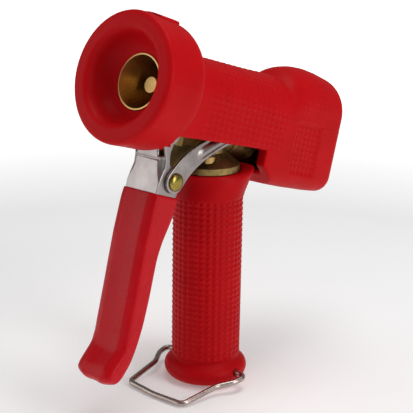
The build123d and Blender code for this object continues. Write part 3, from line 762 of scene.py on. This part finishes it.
def channel_piece():
    f = resample(CHEEK_F, 0.6, sigma=0.9)
    b = resample(CHEEK_B, 0.6, sigma=0.7)
    ear = [(PIVOT[0] + 5.2 * math.cos(t), PIVOT[1] + 5.2 * math.sin(t)) for t in np.linspace(math.radians(205), math.radians(-50), 28)]
    outline = np.vstack([f, np.array(ear), b])
    parts_ = []
    for sg in (-1, 1):
        x0, x1 = sorted((sg * 9.4, sg * 10.9))
        c = prism_yz("cheek", outline, x0, x1)
        hs = [lathe("h", [(0, 7), (3.06, 7), (3.06, 14), (0, 14)], along_x(*PIVOT, sg), 40)]
        cut(c, hs)
        remove(*hs)
        parts_.append(c)
    # front web with a narrow tab at its top
    zz = np.array([45.4, 60, 75, 90, 93.7, 104, 114.9, 119.2, 120.4, 121.6, 122.8, 124, 125.4, 127, 129, 130.9, 131.5, 132.1, 134.5, 138.2])
    hw = np.interp(zz, [t[0] for t in TAB], [t[1] for t in TAB])
    yf = np.interp(zz, [t[0] for t in TAB_F], [t[1] for t in TAB_F])
    v, fc = [], []
    for z, w, y in zip(zz, hw, yf):
        v += [(-w, y, z), (w, y, z), (w, y + 1.5, z - 0.15), (-w, y + 1.5, z - 0.15)]
    n = len(zz)
    for i in range(n - 1):
        for j in range(4):
            fc.append((4 * i + j, 4 * i + (j + 1) % 4, 4 * i + 4 + (j + 1) % 4, 4 * i + 4 + j))
    fc += [(0, 1, 2, 3), tuple(4 * (n - 1) + j for j in range(4))]
    web = raw_object("web", v, fc)
    outward(web)
    # the bend from the web into each cheek, opening out beside the tab
    for sg in (-1, 1):
        v, fc = [], []
        zz = np.array([116.0, 118.0, 119.8, 121.4, 123.6, 125.4, 127.2, 129.2, 131.2, 133.0])
        for z in zz:
            w = float(np.interp(z, [t[0] for t in TAB], [t[1] for t in TAB])) - 0.6
            y = float(np.interp(z, [t[0] for t in TAB_F], [t[1] for t in TAB_F]))
            yc = float(np.interp(z, [t[1] for t in CHEEK_F], [t[0] for t in CHEEK_F])) + 0.2
            w = min(w, 10.2)
            v += [(sg * w, y, z), (sg * (0.35 * w + 0.65 * 10.9), 0.62 * y + 0.38 * yc, z), (sg * 10.9, yc + 0.5, z), (sg * 9.5, yc + 1.4, z), (sg * (w - 0.3), y + 1.5, z)]
        n = len(zz)
        for i in range(n - 1):
            for j in range(5):
                fc.append((5 * i + j, 5 * i + (j + 1) % 5, 5 * i + 5 + (j + 1) % 5, 5 * i + 5 + j))
        fc += [(0, 1, 2, 3, 4), tuple(5 * (n - 1) + j for j in range(5))]
        bend = raw_object("bend", v, fc)
        outward(bend)
        parts_.append(bend)
    bm = bmesh.new()
    for o in parts_ + [web]:
        bm.from_mesh(o.data)
    bm.to_mesh(web.data)
    bm.free()
    remove(*parts_)
    remeshed(web, 0.4, 4)
    web.name = "channel_pressing"
    p = coords(web)
    x, y, z = p.T
    yfz = np.interp(z, [t[0] for t in TAB_F], [t[1] for t in TAB_F])
    hwz = np.interp(z, [t[0] for t in TAB], [t[1] for t in TAB])
    # pressed crease across the foot of the tab, falling away to the right
    line = 131.4 - 0.02 * x
    cr = np.exp(-(((z - line) / 0.45) ** 2)) * sstep(1.0, 0.3, np.abs(y - yfz)) * (np.abs(x) < hwz + 0.5)
    p[:, 1] += 0.5 * cr
    set_coords(web, p)
    return web


channel = finish_piece(channel_piece(), "lever", STEEL, ("lever_channel",))

# ------------------------------------------------------------------ rivets
dome = [(0, 8.5), (4.2, 8.5), (4.2, 9.35), (2.98, 9.4), (2.98, 12.85), (4.3, 12.85), (4.55, 13.05), (4.55, 13.35), (4.35, 13.75), (3.9, 14.15), (3.2, 14.5), (2.3, 14.75), (1.2, 14.88), (0, 14.92)]
for side, sg in (("right", 1), ("left", -1)):
    rv = lathe("rivet_" + side, dome, along_x(RIVET[0], RIVET[1], sg), 48)
    finish_piece(rv, "lever", RIVETB, ("lever_rivets",), 50)


# ------------------------------------------------------------------ link arms
LINK = [(-38.7, 119.3, 6.1), (-33.0, 124.4, 5.7), (-26.0, 128.7, 5.4), (-16.8, 132.2, 4.9), (-2.0, 136.2, 4.7), (16.0, 138.6, 4.6), (34.0, 139.6, 4.8), (CROSS[0], CROSS[1], 5.6)]


def link_piece(sign, name):
    mid = resample([(a, b) for a, b, _ in LINK], 0.5, sigma=2.2)
    mid[0], mid[-1] = LINK[0][:2], LINK[-1][:2]
    d = np.r_[0, np.cumsum(np.hypot(*np.diff(mid, axis=0).T))]
    kn = [np.argmin(np.hypot(mid[:, 0] - a, mid[:, 1] - b)) for a, b, _ in LINK]
    wf = np.interp(d, d[kn], [w for _, _, w in LINK])
    tg = np.gradient(mid, axis=0)
    tg /= np.linalg.norm(tg, axis=1)[:, None]
    nn = np.stack([-tg[:, 1], tg[:, 0]], -1)
    up, dn = mid + nn * wf[:, None], mid - nn * wf[:, None]

    def cap(i, sgn):
        a0 = math.atan2(nn[i, 1], nn[i, 0])
        a = a0 + sgn * np.linspace(0, math.pi, 25)[1:-1]
        return mid[i] + wf[i] * np.stack([np.cos(a), np.sin(a)], -1)

    outline = np.vstack([up, cap(-1, -1), dn[::-1], cap(0, 1)[::-1]])
    ob = prism_yz(name, outline, 11.15, 12.75)
    holes = [lathe("hA", [(0, 9), (3.05, 9), (3.05, 15), (0, 15)], along_x(*RIVET), 40), lathe("hB", [(0, 9), (3.05, 9), (3.05, 15), (0, 15)], along_x(*CROSS), 40)]
    cut(ob, holes)
    remove(*holes)
    remeshed(ob, 0.36, 3)
    p = coords(ob)
    q = p[:, 1:]
    # nearest point on the centreline
    best = np.zeros(len(q), int)
    for a in range(0, len(q), 4000):
        dd = ((q[a:a + 4000, None, :] - mid[None, ::2, :]) ** 2).sum(-1)
        best[a:a + 4000] = dd.argmin(1) * 2
    off = ((q - mid[best]) * nn[best]).sum(1)
    along = d[best]
    start = 19.5
    halfw = 0.60 * wf[best]
    tt = np.clip(1 - ((off + 0.35) / halfw) ** 2, 0, 1)
    lead = np.clip((along - start) / 5.0, 0, 1)
    lead = np.sqrt(np.clip(1 - (1 - lead) ** 2, 0, 1))
    tt = np.clip(1 - ((off + 0.35) / (halfw * (0.35 + 0.65 * lead) + 1e-6)) ** 2, 0, 1) * (along > start)
    rib = 1.15 * np.sqrt(tt) * np.sqrt(tt + 0.15) * lead * sstep(d[-1] - 13, d[-1] - 19, along)
    p[:, 0] += rib
    p[:, 0] *= sign
    set_coords(ob, p)
    outward(ob)
    return ob


for side, sg in (("right", 1), ("left", -1)):
    finish_piece(link_piece(sg, "link_" + side), "links", LINKST, ("link_arm_" + side,))

# ------------------------------------------------------------------ return spring
spring = bpy.data.objects.new("valve_spring", frame["nodes"]["return_spring"].data.copy())
bpy.context.scene.collection.objects.link(spring)
finish_piece(spring, "gun", STEEL, ("return_spring",))
tuple(float(c) * 0.001 for c in np.ravel(world(0.0, 0.0, -19.0)))
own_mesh(spring)


# ------------------------------------------------------------------ stage, light, camera
floor_z = -0.0004
me = bpy.data.meshes.new("floor")
me.from_pydata([(-6, -6, floor_z), (6, -6, floor_z), (6, 6, floor_z), (-6, 6, floor_z)], [], [(0, 1, 2, 3)])
floor = bpy.data.objects.new("floor", me)
bpy.context.scene.collection.objects.link(floor)
k = Nodes("floor_pale")
k.link(k.ramp(k.noise(3.0, 2.0), [(0.3, (0.90, 0.90, 0.90)), (0.7, (0.93, 0.93, 0.93))]), k.p.inputs["Base Color"])
k.p.inputs["Roughness"].default_value = 0.75
k.p.inputs["Specular IOR Level"].default_value = 0.2
sep = k.n("ShaderNodeVectorMath", operation="LENGTH")
k.link(k.co.outputs["Object"], sep.inputs[0])
k.p.inputs["Emission Color"].default_value = (1, 1, 1, 1)
seen = k.n("ShaderNodeLightPath").outputs["Is Camera Ray"]
shown = k.remap(sep.outputs["Value"], 0.16, 1.0, 0.36, 1.0)
k.link(k.math("ADD", k.math("MULTIPLY", seen, shown), k.math("MULTIPLY", k.math("SUBTRACT", 1.0, seen), 0.22)), k.p.inputs["Emission Strength"])
clear = k.n("ShaderNodeBsdfTransparent")
both = k.n("ShaderNodeMixShader")
k.link(k.n("ShaderNodeNewGeometry").outputs["Backfacing"], both.inputs[0])
k.link(k.p.outputs["BSDF"], both.inputs[1])
k.link(clear.outputs["BSDF"], both.inputs[2])
k.link(both.outputs["Shader"], k.out.inputs["Surface"])
floor.data.materials.append(k.m)

wd = bpy.data.worlds.new("studio")
bpy.context.scene.world = wd
wd.use_nodes = True
bg = wd.node_tree.nodes["Background"]
bg.inputs["Color"].default_value = (1.0, 1.0, 1.0, 1.0)
bg.inputs["Strength"].default_value = 0.22
backdrop = wd.node_tree.nodes.new("ShaderNodeBackground")
backdrop.inputs["Color"].default_value = (1.0, 1.0, 1.0, 1.0)
backdrop.inputs["Strength"].default_value = 1.0
choose = wd.node_tree.nodes.new("ShaderNodeMixShader")
rays = wd.node_tree.nodes.new("ShaderNodeLightPath")
wd.node_tree.links.new(rays.outputs["Is Camera Ray"], choose.inputs[0])
wd.node_tree.links.new(bg.outputs["Background"], choose.inputs[1])
wd.node_tree.links.new(backdrop.outputs["Background"], choose.inputs[2])
wd.node_tree.links.new(choose.outputs["Shader"], wd.node_tree.nodes["World Output"].inputs["Surface"])


def area(name, loc, target, size, power, color=(1, 1, 1)):
    li = bpy.data.lights.new(name, "AREA")
    li.shape = "RECTANGLE"
    li.size, li.size_y = size
    li.energy = power
    li.color = color
    ob = bpy.data.objects.new(name, li)
    ob.location = loc
    ob.rotation_mode = "QUATERNION"
    ob.rotation_quaternion = (Vector(target) - Vector(loc)).to_track_quat("-Z", "Y")
    bpy.context.scene.collection.objects.link(ob)
    return ob


area("top", (0.10, 0.10, 1.2), (0, 0, 0.1), (0.7, 0.7), 6.4)
area("right", (1.0, 0.05, 0.45), (0, 0, 0.12), (0.45, 0.7), 4.7)
area("left", (-0.90, -1.05, 0.34), (-0.02, -0.05, 0.1), (1.3, 1.2), 6.6)

cam = bpy.data.cameras.new("camera")
cam.sensor_fit = "HORIZONTAL"
cam.sensor_width = 36.0
cam.lens = 991.393 * 36.0 / 413.0
cam.shift_x = (206.5 - 201.713) / 413.0
cam.shift_y = (196.569 - 206.5) / 413.0
cam.clip_start, cam.clip_end = 0.05, 20.0
camera = bpy.data.objects.new("camera", cam)
bpy.context.scene.collection.objects.link(camera)
az, el, roll = (math.radians(v) for v in (41.80929, 14.99391, 0.859228))
right = Vector((math.cos(az), math.sin(az), 0))
back = Vector((math.sin(az) * math.cos(el), -math.cos(az) * math.cos(el), math.sin(el)))
up = back.cross(right)
r2 = right * math.cos(roll) + up * math.sin(roll)
u2 = -right * math.sin(roll) + up * math.cos(roll)
camera.matrix_world = Matrix(((r2.x, u2.x, back.x, 0.338987), (r2.y, u2.y, back.y, -0.384050), (r2.z, u2.z, back.z, 0.239451), (0, 0, 0, 1)))
bpy.context.scene.camera = camera
bpy.context.scene.view_settings.view_transform = "Standard"
bpy.context.scene.view_settings.look = "None"
